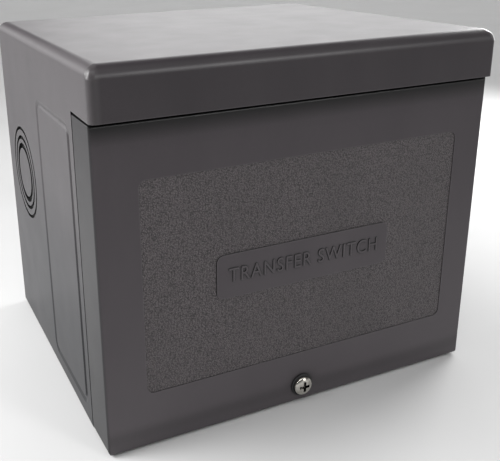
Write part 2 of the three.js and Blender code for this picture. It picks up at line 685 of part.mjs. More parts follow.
// Every lead ends going down into its own entry of the terminal strip.
function buildLeads() {
  const entry = (i) => [[posts[i], -18.3, 125], [posts[i], -18.3, 117]];
  const { y, foot, height } = coil;
  const upperStart = foot + height - 12;
  const lowerStart = 2 * axis.z - upperStart;
  const face = y - 13.5;
  const busY = base.front - GAP - bus.thickness / 2;
  const rise = [[-4, face - 0.4, upperStart], [-5, -31, upperStart + 1], [-14, -34.5, 124], [-26, -34, 130]];
  const overTop = [[-42, -30, 134], [-53, -22, 135.5], [-60.5, -18.5, 134]];
  place("lead_coil_upper", lead([...rise, ...overTop, ...entry(2)]), "leadRed");
  const drop = [[-4, face - 0.4, lowerStart], [-5, -31, lowerStart - 1], [-16, -35, 26]];
  const across = [[-36, -37.5, 22], [-46.5, -36.5, 26]];
  const riser = [[-48, -33, 40], [-48, -33, 75], [-48, -32, 110], [-49.5, -28, 124], [-54, -19.5, 130.5]];
  place("lead_coil_lower", lead([...drop, ...across, ...riser, ...entry(3)]), "leadRed");
  const middle = -(bus.x[0] + bus.x[1]) / 2;
  const start = [[middle, busY, bus.end + 0.4], [middle, 42, 130], [-30, 36, 136.5]];
  const forward = [[-48, 15, 138], [-61, -8, 138], [-66.5, -17, 133]];
  place("lead_sense_utility", lead([...start, ...forward, ...entry(1)]), "leadBlack");
  const lowEnd = 2 * axis.z - bus.end - 0.4;
  const under = [[middle, busY, lowEnd], [middle, 41.5, 18], [-33, 34, 13], [-50, 16, 12.5], [-60, 2, 18]];
  const behind = [[-62, -0.6, 35], [-62, -0.6, 75], [-62, -0.6, 118], [-68, -3, 131], [-72.5, -14, 133]];
  place("lead_sense_generator", lead([...under, ...behind, ...entry(0)]), "leadBlue");
}

buildBox();
buildChassis();
buildSwitchFrame();
buildRotor();
buildTerminals();
buildActuator();
buildBoard();
buildBars();
buildLeads();

export default root;
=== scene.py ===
import json
import math

import bmesh
import bpy
from mathutils import Matrix, Vector


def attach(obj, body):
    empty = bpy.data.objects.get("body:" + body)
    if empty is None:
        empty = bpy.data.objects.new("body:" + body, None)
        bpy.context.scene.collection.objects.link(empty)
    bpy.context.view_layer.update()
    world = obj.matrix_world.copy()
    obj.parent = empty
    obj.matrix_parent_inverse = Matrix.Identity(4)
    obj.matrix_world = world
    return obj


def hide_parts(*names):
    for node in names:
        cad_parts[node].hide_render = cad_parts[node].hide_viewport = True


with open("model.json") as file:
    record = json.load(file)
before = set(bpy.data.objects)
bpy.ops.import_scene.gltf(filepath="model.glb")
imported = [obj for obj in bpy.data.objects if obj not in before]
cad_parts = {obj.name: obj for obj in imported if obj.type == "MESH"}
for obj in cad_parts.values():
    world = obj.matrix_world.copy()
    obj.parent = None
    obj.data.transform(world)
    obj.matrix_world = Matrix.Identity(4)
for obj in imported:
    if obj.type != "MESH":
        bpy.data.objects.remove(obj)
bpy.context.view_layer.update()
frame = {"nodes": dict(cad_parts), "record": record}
SLOTS = {s["node"]: s["material_slot"] for s in frame["record"]["subparts"]}
BODIES = {n: b for b, ns in frame["record"]["behaviour"]["bodies"].items() for n in ns}
scene = bpy.context.scene

# ---------------------------------------------------------------- sizes, in millimetres as in the CAD

WIDTH, DEPTH, HEIGHT = 170.0, 147.0, 149.0
HALF = WIDTH / 2
WALL = 2.5
DRAFT = math.tan(math.radians(1))
FRONT, BACK = -DEPTH / 2, DEPTH / 2
RIM = FRONT + 23
SKIRT_Z = HEIGHT - 19
GAP = 0.3
SEAM = 1.2
COVER_FRONT = FRONT + 3
COVER_BACK = COVER_FRONT + WALL
COVER_HALF = HALF - GAP
COVER_TOP = SKIRT_Z - 1
SCREW_Z = 8.0

# ---------------------------------------------------------------- camera

IMAGE_WIDTH = 500
SENSOR_WIDTH = 36.0
CAM_AZ, CAM_EL, CAM_ROLL = math.radians(-25.419), math.radians(19.769), math.radians(-0.672)
CAM_DISTANCE = 0.36094
CAM_TARGET = Vector((-0.00886, 0.0, 0.0703))
FOCAL_PX = 779.6
SHIFT_PX = (-42.38, -34.33)


def make_camera():
    flat = math.cos(CAM_EL)
    back = Vector((math.sin(CAM_AZ) * flat, -math.cos(CAM_AZ) * flat, math.sin(CAM_EL)))
    right = (-back).cross(Vector((0, 0, 1))).normalized()
    up = right.cross(-back)
    r = right * math.cos(CAM_ROLL) + up * math.sin(CAM_ROLL)
    u = up * math.cos(CAM_ROLL) - right * math.sin(CAM_ROLL)
    data = bpy.data.cameras.new("camera")
    data.sensor_width = SENSOR_WIDTH
    data.lens = FOCAL_PX / IMAGE_WIDTH * SENSOR_WIDTH
    data.shift_x = -SHIFT_PX[0] / IMAGE_WIDTH
    data.shift_y = SHIFT_PX[1] / IMAGE_WIDTH
    data.clip_start = 0.01
    cam = bpy.data.objects.new("camera", data)
    turn = Matrix((r, u, back)).transposed().to_4x4()
    cam.matrix_world = Matrix.Translation(CAM_TARGET + back * CAM_DISTANCE) @ turn
    scene.collection.objects.link(cam)
    scene.camera = cam


make_camera()

# ---------------------------------------------------------------- mesh helpers, in millimetres


def from_bmesh(name, bm):
    bmesh.ops.recalc_face_normals(bm, faces=bm.faces)
    mesh = bpy.data.meshes.new(name)
    bm.to_mesh(mesh)
    bm.free()
    obj = bpy.data.objects.new(name, mesh)
    scene.collection.objects.link(obj)
    return obj


def arc(u, v, r, a0, a1, n):
    steps = [a0 + (a1 - a0) * i / n for i in range(n + 1)]
    return [(u + r * math.cos(a), v + r * math.sin(a)) for a in steps]


def rounded(u0, u1, v0, v1, radii, n=10):
    """Outline against the clock, with corner radii from low-left."""
    half = math.pi / 2
    ll, lr, ur, ul = radii
    corners = [
        (u0 + ll, v0 + ll, ll, 2),
        (u1 - lr, v0 + lr, lr, 3),
        (u1 - ur, v1 - ur, ur, 0),
        (u0 + ul, v1 - ul, ul, 1),
    ]
    out = []
    for u, v, r, q in corners:
        out += arc(u, v, r, q * half, (q + 1) * half, n) if r else [(u, v)]
    return out


def circle(u, v, r, n=64):
    return arc(u, v, r, 0, 2 * math.pi * (n - 1) / n, n - 1)


# Where the outline's two directions and its thickness go, for a prism along each axis.
AXES = {
    "x": lambda u, v, w: (w, u, v),
    "y": lambda u, v, w: (u, w, v),
    "z": lambda u, v, w: (u, v, w),
}


def prism(name, outline, axis, a, b, inner=None):
    """An outline made thick from a to b. inner has the same number of points and leaves a hole."""
    put = AXES[axis]
    bm = bmesh.new()
    n = len(outline)
    rings = [[bm.verts.new(put(u, v, w)) for u, v in outline] for w in (a, b)]
    if inner:
        rings += [[bm.verts.new(put(u, v, w)) for u, v in inner] for w in (b, a)]
        count = len(rings)
        for k in range(count):
            one, two = rings[k], rings[(k + 1) % count]
            for i in range(n):
                bm.faces.new((one[i], one[(i + 1) % n], two[(i + 1) % n], two[i]))
    else:
        for i in range(n):
            bm.faces.new((rings[0][i], rings[0][(i + 1) % n], rings[1][(i + 1) % n], rings[1][i]))
        bm.faces.new(rings[0])
        bm.faces.new(rings[1])
    return from_bmesh(name, bm)


def block(x, y, z):
    return prism("block", [(x[0], y[0]), (x[1], y[0]), (x[1], y[1]), (x[0], y[1])], "z", z[0], z[1])


def rod(axis, at, r, a, b, n=48):
    return prism("rod", circle(at[0], at[1], r, n), axis, a, b)


def lathe(name, profile, x, z, n=64):
    """A piece turned about the y direction at (x, z). Its profile of (radius, y) starts and ends there."""
    bm = bmesh.new()
    rows = []
    angles = [2 * math.pi * i / n for i in range(n)]
    for r, y in profile:
        if r < 1e-6:
            rows.append([bm.verts.new((x, y, z))])
        else:
            rows.append([bm.verts.new((x + r * math.cos(t), y, z + r * math.sin(t))) for t in angles])
    for one, two in zip(rows, rows[1:]):
        for i in range(n):
            j = (i + 1) % n
            corners = (one[i % len(one)], one[j % len(one)], two[j % len(two)], two[i % len(two)])
            bm.faces.new(list(dict.fromkeys(corners)))
    return from_bmesh(name, bm)


def settle(obj):
    """Applies obj's modifiers."""
    graph = bpy.context.evaluated_depsgraph_get()
    mesh = bpy.data.meshes.new_from_object(obj.evaluated_get(graph))
    obj.modifiers.clear()
    old = obj.data
    obj.data = mesh
    bpy.data.meshes.remove(old)
    return obj


def combine(obj, operation, *others, whole=False):
    """Joins or cuts obj with each other piece in turn. whole is for others that cross themselves."""
    for other in others:
        m = obj.modifiers.new("combine", "BOOLEAN")
        m.solver = "EXACT"
        m.use_self = whole
        m.operation = operation
        m.object = other
        settle(obj)
        bpy.data.objects.remove(other)
    return obj


def cut(obj, *others):
    return combine(obj, "DIFFERENCE", *others)


def join(obj, *others, whole=False):
    return combine(obj, "UNION", *others, whole=whole)


def both(obj, *others):
    return combine(obj, "INTERSECT", *others)


def drafted(obj):
    """Closes the sides and the roof in towards the back."""
    for v in obj.data.vertices:
        inset = DRAFT * (v.co.y - FRONT)
        v.co.x *= 1 - inset / HALF
        v.co.z *= 1 - inset / HEIGHT
    return obj


def mirrored(obj):
    copy = obj.copy()
    copy.data = obj.data.copy()
    scene.collection.objects.link(copy)
    for v in copy.data.vertices:
        v.co.x *= -1
    copy.data.flip_normals()
    return copy


def clean(obj, angle=0.4):
    """Merges what a cut left in slivers."""
    bm = bmesh.new()
    bm.from_mesh(obj.data)
    bmesh.ops.remove_doubles(bm, verts=bm.verts, dist=0.0005)
    bmesh.ops.dissolve_limit(bm, angle_limit=math.radians(angle), verts=bm.verts, edges=bm.edges)
    bmesh.ops.recalc_face_normals(bm, faces=bm.faces)
    bm.to_mesh(obj.data)
    bm.free()
    return obj


def round_edges(obj, width, segments=2, angle=30):
    m = obj.modifiers.new("round", "BEVEL")
    m.width = width
    m.segments = segments
    m.limit_method = "ANGLE"
    m.angle_limit = math.radians(angle)
    m.use_clamp_overlap = True
    m.harden_normals = False
    return settle(obj)


SHARP_ANGLE = 35


def shade(obj):
    for p in obj.data.polygons:
        p.use_smooth = True
    obj.data.set_sharp_from_angle(angle=math.radians(SHARP_ANGLE))
    m = obj.modifiers.new("normals", "WEIGHTED_NORMAL")
    m.keep_sharp = True
    m.weight = 100


def finish_piece(obj, node, *materials):
    """Puts a finished piece in the row frame, in metres, in place of its CAD node."""
    obj.data.transform(Matrix.Scale(0.001, 4))
    for material in materials:
        obj.data.materials.append(material)
    shade(obj)
    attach(obj, BODIES[node])
    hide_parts(node)


# ---------------------------------------------------------------- materials


class Nodes:
    """A short way to wire a material."""

    def __init__(self, name):
        self.mat = bpy.data.materials.new(name)
        self.mat.use_nodes = True
        self.tree = self.mat.node_tree
        self.bsdf = self.tree.nodes["Principled BSDF"]
        self.coords = self.tree.nodes.new("ShaderNodeTexCoord").outputs["Object"]

    def add(self, kind, inputs=None, **props):
        node = self.tree.nodes.new(kind)
        for key, value in props.items():
            setattr(node, key, value)
        for key, value in (inputs or {}).items():
            self.put(node.inputs[key], value)
        return node

    def put(self, socket, value):
        if isinstance(value, bpy.types.NodeSocket):
            self.tree.links.new(value, socket)
        else:
            socket.default_value = value

    def noise(self, scale, detail=3.0, rough=0.55, vector=None):
        inputs = {"Vector": vector or self.coords, "Scale": scale, "Detail": detail, "Roughness": rough}
        return self.add("ShaderNodeTexNoise", inputs).outputs["Fac"]

    def spread(self, value, low, high, to_low=0.0, to_high=1.0):
        inputs = {"Value": value, "From Min": low, "From Max": high, "To Min": to_low, "To Max": to_high}
        return self.add("ShaderNodeMapRange", inputs).outputs["Result"]

    def stretched(self, x, y, z):
        return self.add("ShaderNodeMapping", {"Vector": self.coords, "Scale": (x, y, z)}).outputs["Vector"]

    def mix(self, factor, a, b):
        node = self.add("ShaderNodeMix", data_type="RGBA")
        self.put(node.inputs["Factor"], factor)
        sockets = [s for s in node.inputs if s.type == "RGBA"]
        self.put(sockets[0], a)
        self.put(sockets[1], b)
        return [s for s in node.outputs if s.type == "RGBA"][0]

    def math(self, operation, a, b=0.0):
        node = self.add("ShaderNodeMath", operation=operation)
        self.put(node.inputs[0], a)
        self.put(node.inputs[1], b)
        return node.outputs[0]

    def edge_wear_and_highlight(self, width=0.0006):
        """0 on flat faces and towards 1 on sharp edges."""
        bevel = self.add("ShaderNodeBevel", {"Radius": width}, samples=4)
        true = self.add("ShaderNodeNewGeometry").outputs["Normal"]
        dot = self.add("ShaderNodeVectorMath", operation="DOT_PRODUCT")
        self.put(dot.inputs[0], bevel.outputs["Normal"])
        self.put(dot.inputs[1], true)
        return self.spread(dot.outputs["Value"], 0.995, 0.85)

    def crevice(self, reach=0.012, low=0.68, high=0.97):
        """0 deep in a gap and 1 in the open."""
        node = self.add("ShaderNodeAmbientOcclusion", {"Distance": reach}, samples=6)
        return self.spread(node.outputs["AO"], low, high)

    def bump(self, height, distance, strength=1.0, under=None):
        node = self.add("ShaderNodeBump", {"Height": height, "Distance": distance, "Strength": strength})
        if under:
            self.put(node.inputs["Normal"], under)
        return node.outputs["Normal"]

    def set(self, **sockets):
        for key, value in sockets.items():
            self.put(self.bsdf.inputs[key.replace("_", " ")], value)
        return self.mat


def rgb(r, g, b):
    return (r, g, b, 1.0)


# Heights and places where the shell's material paints light and shade, in metres in the object's own
# coordinates.
FRONT_PLANE = (-0.0693, -0.0700)
LEFT_SIDE = (-0.0805, -0.0820)
LEFT_FLANK = (-0.0838, -0.0845)
LIP_SHADOW_BAND = (0.1215, 0.1285)
NEAR_FLOOR = (0.016, 0.004)
SHELL_SPECULAR = 0.32


def shell_plastic(name, tone=1.0, grained=False, painted_lip_shadow=0.0, painted_side_shading=0.0, painted_flank_shade=0.0):
    """Moulded grey plastic: a faint overall grain, dusty smears, and edges made a little paler, partly as
    rubbed wear and partly as a painted highlight. Gaps and crevices get painted shade, less of it near the
    floor.

    The front face gets painted light, paler towards the bottom, and every other face gets painted shade,
    darker towards the bottom. painted_lip_shadow paints the shadow of the hood's lip on the front, darkest
    at the hood's lower edge. On the left side, painted_side_shading paints the top paler as painted light
    and the low front corner darker as painted shade, and painted_flank_shade paints shade on the cover's
    own side.
    """
    n = Nodes(name)
    smear = n.noise(1.0, 5, 0.6, n.stretched(38, 38, 12))
    speck = n.noise(900, 2, 0.6)
    dark, light, dull = ((0.0435, 0.0365, 0.0412), (0.0575, 0.049, 0.054), (0.0405, 0.035, 0.0405))
    dark, light, dull = (rgb(*[c * tone for c in color]) for color in (dark, light, dull))
    base = n.mix(n.spread(smear, 0.35, 0.72), dark, light)
    base = n.mix(n.spread(speck, 0.3, 0.7, 0, 0.35), base, dull)
    # Edges made paler: partly rubbed wear, partly a painted highlight along rounded edges.
    base = n.mix(n.math("MULTIPLY", n.edge_wear_and_highlight(0.0007), 0.55), base, rgb(0.13, 0.125, 0.13))
    place = n.add("ShaderNodeSeparateXYZ", {"Vector": n.coords}).outputs
    low = n.spread(place["Z"], 0.155, 0.0)
    face = n.spread(place["Y"], *FRONT_PLANE)
    # Painted light: the front face is made paler towards the bottom.
    bright = n.math("MULTIPLY", low, n.math("MULTIPLY", face, 0.55))
    base = n.mix(bright, base, rgb(0.085, 0.0765, 0.082))
    # Painted shade: every face but the front is made darker towards the bottom.
    painted_low_shade = n.math("MULTIPLY", low, n.math("SUBTRACT", 1.0, face))
    base = n.mix(n.math("MULTIPLY", painted_low_shade, 0.95), base, rgb(0.018, 0.018, 0.021))
    if painted_side_shading:
        # Painted light: the top of the left side is made paler.
        side = n.spread(place["X"], *LEFT_SIDE)
        high = n.math("MULTIPLY", side, n.spread(place["Z"], 0.07, 0.13))
        base = n.mix(n.math("MULTIPLY", high, painted_side_shading), base, rgb(0.105, 0.100, 0.102))
        # Painted shade: the low front corner of the left side is made darker.
        foot = n.math("MULTIPLY", n.spread(place["Z"], 0.094, 0.037), n.spread(place["Y"], 0.09, 0.0))
        foot = n.math("MULTIPLY", n.math("MULTIPLY", side, foot), 0.8)
        base = n.mix(foot, base, rgb(0.004, 0.0045, 0.007))
    if painted_flank_shade:
        # Painted shade: the cover's own left side is made darker.
        side = n.spread(place["X"], *LEFT_FLANK)
        base = n.mix(n.math("MULTIPLY", side, painted_flank_shade), base, rgb(0.004, 0.0043, 0.005))
    if painted_lip_shadow:
        # Painted shadow of the hood's lip on the front, darkest right under the lip.
        under = n.math("MULTIPLY", face, n.spread(place["Z"], *LIP_SHADOW_BAND))
        base = n.mix(n.math("MULTIPLY", under, painted_lip_shadow), base, rgb(0.003, 0.003, 0.003))
    # Painted shade: faces deep in gaps and crevices are darkened towards black, and less so near the floor.
    open_air = n.math("MAXIMUM", n.crevice(), n.spread(place["Z"], *NEAR_FLOOR, 0.0, 0.8))
    base = n.mix(open_air, rgb(0.004, 0.004, 0.004), base)
    rough = n.spread(n.noise(60, 4), 0.3, 0.7, 0.37, 0.40)
    if not grained:
        skin = n.noise(1500, 3, 0.6)
        normal = n.bump(skin, 0.00002, 0.6, n.bump(n.noise(22, 3), 0.0001, 0.25))
        return n.set(Base_Color=base, Roughness=rough, Normal=normal, Specular_IOR_Level=SHELL_SPECULAR)
    grains = {"Vector": n.coords, "Scale": 1650.0, "Randomness": 0.6}
    cells = n.add("ShaderNodeTexVoronoi", grains, feature="F1")
    pebble = n.spread(cells.outputs["Distance"], 0.75, 0.1)
    base = n.mix(pebble, rgb(0.022, 0.020, 0.021), rgb(0.154, 0.136, 0.142))
    base = n.mix(n.spread(smear, 0.35, 0.75, 0, 0.25), base, rgb(0.05, 0.047, 0.048))
    rough = n.math("ADD", rough, 0.06)
    normal = n.bump(pebble, 0.0003)
    return n.set(Base_Color=base, Roughness=rough, Normal=normal, Specular_IOR_Level=SHELL_SPECULAR)


def metal(name, color, dark, rough=(0.22, 0.42), scale=(60, 60, 900), patches=26, recess_shade_reach=0.0):
    """Drawn or plated metal: fine lines one way, dull patches, brighter worn edges.

    scale gives the lines' fineness each way, and recess_shade_reach how far apart two faces may be for
    the recess between them to get painted shade.
    """
    n = Nodes(name)
    lines = n.noise(1.0, 4, 0.6, n.stretched(*scale))
    patch = n.noise(patches, 5, 0.6)
    base = n.mix(n.spread(patch, 0.3, 0.72), rgb(*dark), rgb(*color))
    base = n.mix(n.spread(lines, 0.3, 0.7, 0, 0.28), base, rgb(*[c * 0.6 for c in color]))
    bright = [min(1.0, c * 1.25 + 0.05) for c in color]
    base = n.mix(n.math("MULTIPLY", n.edge_wear_and_highlight(0.0005), 0.4), base, rgb(*bright))
    if recess_shade_reach:
        # Painted shade: recesses, such as a screw's cross, are darkened towards black.
        base = n.mix(n.crevice(recess_shade_reach, 0.35, 0.8), rgb(0.01, 0.01, 0.01), base)
    mottle = n.math("ADD", n.math("MULTIPLY", patch, 0.6), n.math("MULTIPLY", lines, 0.4))
    normal = n.bump(lines, 0.00003, 0.35)
    return n.set(Base_Color=base, Metallic=1.0, Roughness=n.spread(mottle, 0.3, 0.7, *rough), Normal=normal)


def moulded(name, color, rough, grain=700, depth=0.00003, mottled=0.25):
    """A moulded plastic piece."""
    n = Nodes(name)
    cloud = n.noise(45, 4)
    base = n.mix(n.spread(cloud, 0.3, 0.7), rgb(*[c * (1 - mottled) for c in color]), rgb(*color))
    pale = [min(1.0, c * 1.3 + 0.06) for c in color]
    base = n.mix(n.math("MULTIPLY", n.edge_wear_and_highlight(0.0005), 0.35), base, rgb(*pale))
    roughness = n.spread(n.noise(90, 3), 0.3, 0.7, *rough)
    return n.set(Base_Color=base, Roughness=roughness, Normal=n.bump(n.noise(grain, 3), depth, 0.5))


def laminate(name):
    """Solder mask over a copper pattern: tracks show as a paler, raised grid of broken lines."""
    n = Nodes(name)
    turned = n.add("ShaderNodeMapping", {"Vector": n.coords, "Rotation": (math.pi / 2, 0, 0)})
    grid = {"Vector": turned.outputs["Vector"], "Scale": 170.0, "Mortar Size": 0.1}
    grid.update({"Brick Width": 1.6, "Row Height": 0.42})
    brick = n.add("ShaderNodeTexBrick", grid, offset=0.37, squash=1.7, squash_frequency=3)
    track = brick.outputs["Fac"]
    base = n.mix(track, rgb(0.012, 0.075, 0.03), rgb(0.03, 0.16, 0.06))
    base = n.mix(n.spread(n.noise(300, 3), 0.35, 0.7, 0, 0.3), base, rgb(0.006, 0.05, 0.02))
    rough = n.spread(n.noise(80, 2), 0.3, 0.7, 0.22, 0.34)
    return n.set(Base_Color=base, Roughness=rough, Normal=n.bump(track, 0.00006, 0.6), Coat_Weight=0.3)


def floor_material():
    n = Nodes("stage_floor")
    cloud = n.spread(n.noise(9, 2), 0.2, 0.8)
    return n.set(Base_Color=n.mix(cloud, rgb(0.48, 0.48, 0.48), rgb(0.52, 0.52, 0.52)), Roughness=0.75)


SHELL = shell_plastic("shell", 0.86, painted_lip_shadow=0.25, painted_side_shading=0.33)
COVER_SHELL = shell_plastic("shell_cover", 0.9, painted_lip_shadow=0.95, painted_flank_shade=0.75)
COVER_GRAIN = shell_plastic("shell_grained", grained=True)
# Near-black and barely glossy: painted shade for the cover's top edge just under the hood's lip, which also
# keeps that edge from showing a highlight.
COVER_EDGE_SHADE = Nodes("shell_edge_shade")
COVER_EDGE_SHADE = COVER_EDGE_SHADE.set(Base_Color=rgb(0.004, 0.004, 0.004), Roughness=0.9, Specular_IOR_Level=0.05)
BRIGHT = ((0.70, 0.68, 0.63), (0.40, 0.38, 0.34))
BRASS = ((0.80, 0.58, 0.26), (0.52, 0.36, 0.15))
COPPER = ((0.82, 0.42, 0.26), (0.50, 0.23, 0.13))
ZINC = ((0.62, 0.63, 0.65), (0.42, 0.43, 0.46))
STEEL = ((0.50, 0.49, 0.48), (0.30, 0.29, 0.28))
ENAMEL = ((0.55, 0.17, 0.06), (0.30, 0.08, 0.03))
LOOKS = {
    "shell": SHELL,
    "rubber": moulded("rubber", (0.012, 0.012, 0.013), (0.6, 0.8)),
    "screw_bright": metal("screw_bright", *BRIGHT, (0.12, 0.3), (500, 500, 500), 300, recess_shade_reach=0.0025),
    "brass": metal("brass", *BRASS, (0.2, 0.4), (300, 900, 300)),
    "copper": metal("copper", *COPPER, (0.2, 0.42)),
    "zinc": metal("zinc", *ZINC, (0.28, 0.5), (240, 240, 240), 160),
    "steel": metal("steel", *STEEL, (0.25, 0.48)),
    "phenolic": moulded("phenolic", (0.028, 0.025, 0.024), (0.25, 0.42), 380, 0.00005),
    "red_plastic": moulded("red_plastic", (0.44, 0.022, 0.016), (0.22, 0.36)),
    "nylon": moulded("nylon", (0.66, 0.62, 0.52), (0.35, 0.5)),
    "clear_case": moulded("clear_case", (0.55, 0.58, 0.60), (0.12, 0.22), mottled=0.08),
    "strip": moulded("strip", (0.03, 0.20, 0.075), (0.3, 0.45)),
    "lens": moulded("lens", (0.05, 0.55, 0.10), (0.06, 0.12), mottled=0.1),
    "lead_red": moulded("lead_red", (0.40, 0.02, 0.015), (0.32, 0.45)),
    "lead_black": moulded("lead_black", (0.014, 0.014, 0.016), (0.32, 0.45)),
    "lead_blue": moulded("lead_blue", (0.02, 0.07, 0.32), (0.32, 0.45)),
    "winding": metal("winding", *ENAMEL, (0.16, 0.3), (80, 80, 2200)),
    "laminate": laminate("laminate"),
}

# ---------------------------------------------------------------- the box's moulding

KNOCKOUT_RINGS = [(21.8, 20.3), (17.6, 15.9), (14.1, 11.6)]
KNOCKOUT_DEPTH = 1.6
KNOCKOUT_AT = (40.5, 82.5)
PANEL_Y = (RIM + 4.5, RIM + 56.5)
PANEL_Z = (7.0, 125.0)
PANEL_RADIUS = 6.0
ROOF_RADIUS, FOOT_RADIUS, UPRIGHT_RADIUS = 5.0, 2.0, 2.6
WALL_HOLE_X, WALL_HOLE_Z, WALL_HOLE_RADIUS = 66, (28, 122), 3.2
BOSS_X, BOSS_Z, BOSS_Y = 48, (19, 129), 63.8
FLOOR_KNOCKOUT_AT = (38, 20)


def ring_cut(axis, a, b, at, outer, inner, n=96):
    return prism("ring", circle(at[0], at[1], outer, n), axis, a, b, circle(at[0], at[1], inner, n))


def panel_groove():
    """The shallow groove that frames a side's panel, with sloping walls."""
    bm = bmesh.new()
    rows = []
    outside, floor = HALF + 4, HALF - 0.5
    section = ((0.0, outside), (0.0, HALF), (1.6, floor), (2.4, floor), (3.2, HALF), (3.2, outside))
    (y0, y1), (z0, z1) = PANEL_Y, PANEL_Z
    for inset, x in section:
        radii = (PANEL_RADIUS - inset,) * 4
        pts = rounded(y0 + inset, y1 - inset, z0 + inset, z1 - inset, radii, 8)
        rows.append([bm.verts.new((x, y, z)) for y, z in pts])
    for one, two in zip(rows, rows[1:] + rows[:1]):
        for i in range(len(one)):
            j = (i + 1) % len(one)
            bm.faces.new((one[i], one[j], two[j], two[i]))
    return drafted(from_bmesh("groove", bm))


def softened_block(name):
    """The box's outside: a block with each edge's own radius, blended where they meet in a corner."""
    bm = bmesh.new()
    bmesh.ops.create_cube(bm, size=1.0)
    bmesh.ops.scale(bm, vec=(WIDTH, DEPTH, HEIGHT), verts=bm.verts)
    bmesh.ops.translate(bm, vec=(0, 0, HEIGHT / 2), verts=bm.verts)
    weight = bm.edges.layers.float.new("bevel_weight_edge")
    for edge in bm.edges:
        a, b = (v.co for v in edge.verts)
        middle = (a + b) / 2
        on_top, in_front, in_back = middle.z > HEIGHT - 1, middle.y < FRONT + 1, middle.y > BACK - 1
        if abs(a.y - b.y) > 1:
            radius = ROOF_RADIUS if on_top else FOOT_RADIUS
        elif abs(a.x - b.x) > 1:
            radius = (ROOF_RADIUS if in_front else FOOT_RADIUS) if on_top else 0.0
        else:
            radius = 0.0 if in_back else UPRIGHT_RADIUS
        edge[weight] = radius / ROOF_RADIUS
    soft = from_bmesh(name, bm)
    m = soft.modifiers.new("soft", "BEVEL")
    m.width = ROOF_RADIUS
    m.segments = 12
    m.limit_method = "WEIGHT"
    m.use_clamp_overlap = False
    return settle(soft)


def wide_block(half, y, z):
    """A block across the middle."""
    return block((-half, half), y, z)


def enclosure():
    shell = drafted(softened_block("enclosure_fine"))
    inner = HALF - WALL
    hollow = rounded(-inner, inner, WALL, HEIGHT - WALL, (1, 1, 2.5, 2.5), 4)
    cut(shell, drafted(prism("cavity", hollow, "y", FRONT + WALL, BACK - WALL)))
    cut(shell, wide_block(HALF + 1, (FRONT - 1, RIM), (-1, SKIRT_Z)))
    groove = panel_groove()
    cut(shell, mirrored(groove), groove)
    for outer, hole in KNOCKOUT_RINGS:
        ring = drafted(ring_cut("x", HALF - KNOCKOUT_DEPTH, HALF + 1, KNOCKOUT_AT, outer, hole))
        cut(shell, mirrored(ring), ring)
    knockout_x, knockout_y = FLOOR_KNOCKOUT_AT
    for s in (-1, 1):
        for outer, hole in KNOCKOUT_RINGS[:2]:
            cut(shell, ring_cut("z", -1, KNOCKOUT_DEPTH, (s * knockout_x, knockout_y), outer, hole, 72))
        for z in WALL_HOLE_Z:
            cut(shell, rod("y", (s * WALL_HOLE_X, z), WALL_HOLE_RADIUS, BACK - WALL - 1, BACK + 1))
        for z in BOSS_Z:
            join(shell, rod("y", (s * BOSS_X, z), 5, BOSS_Y, BACK - 1))
            cut(shell, rod("y", (s * BOSS_X, z), 2, BOSS_Y - 1, BACK - WALL, 32))
    # ribs behind the cover's flanges, and the block that holds the screw's insert
    rib_y, root_y = (RIM - 6, RIM + 4), (RIM + 0.5, RIM + 4)
    side_rib = join(block((80.4, 81.9), rib_y, (2.9, 120)), block((80.4, 82.6), root_y, (2.9, 120)))
    floor_rib = join(wide_block(81.9, rib_y, (2.9, 4.4)), wide_block(82, root_y, (2, 3.9)))
    join(shell, mirrored(side_rib), side_rib, floor_rib)
    insert_root = wide_block(9, (RIM, RIM + 8), (1, 4))
    join(shell, join(wide_block(9, (COVER_BACK + 1, RIM + 8), (WALL + 0.5, 14)), insert_root))
    cut(shell, rod("y", (0, SCREW_Z), 4.2, COVER_BACK, COVER_BACK + 8.3))
    clean(shell)
    round_edges(shell, 0.4, 3, 14)
    finish_piece(shell, "enclosure_body", SHELL)


# ---------------------------------------------------------------- the front cover

GRAIN_LEFT, GRAIN_RIGHT, GRAIN_LOW, GRAIN_HIGH, GRAIN_DEPTH = -68.3, 70.8, 23.5, 108.0, 0.25
PLATE_HALF, PLATE_LOW, PLATE_HIGH = 39.0, 56.0, 74.0
PLATE_FACE = COVER_FRONT - 0.2
COVER_RIM = RIM - SEAM


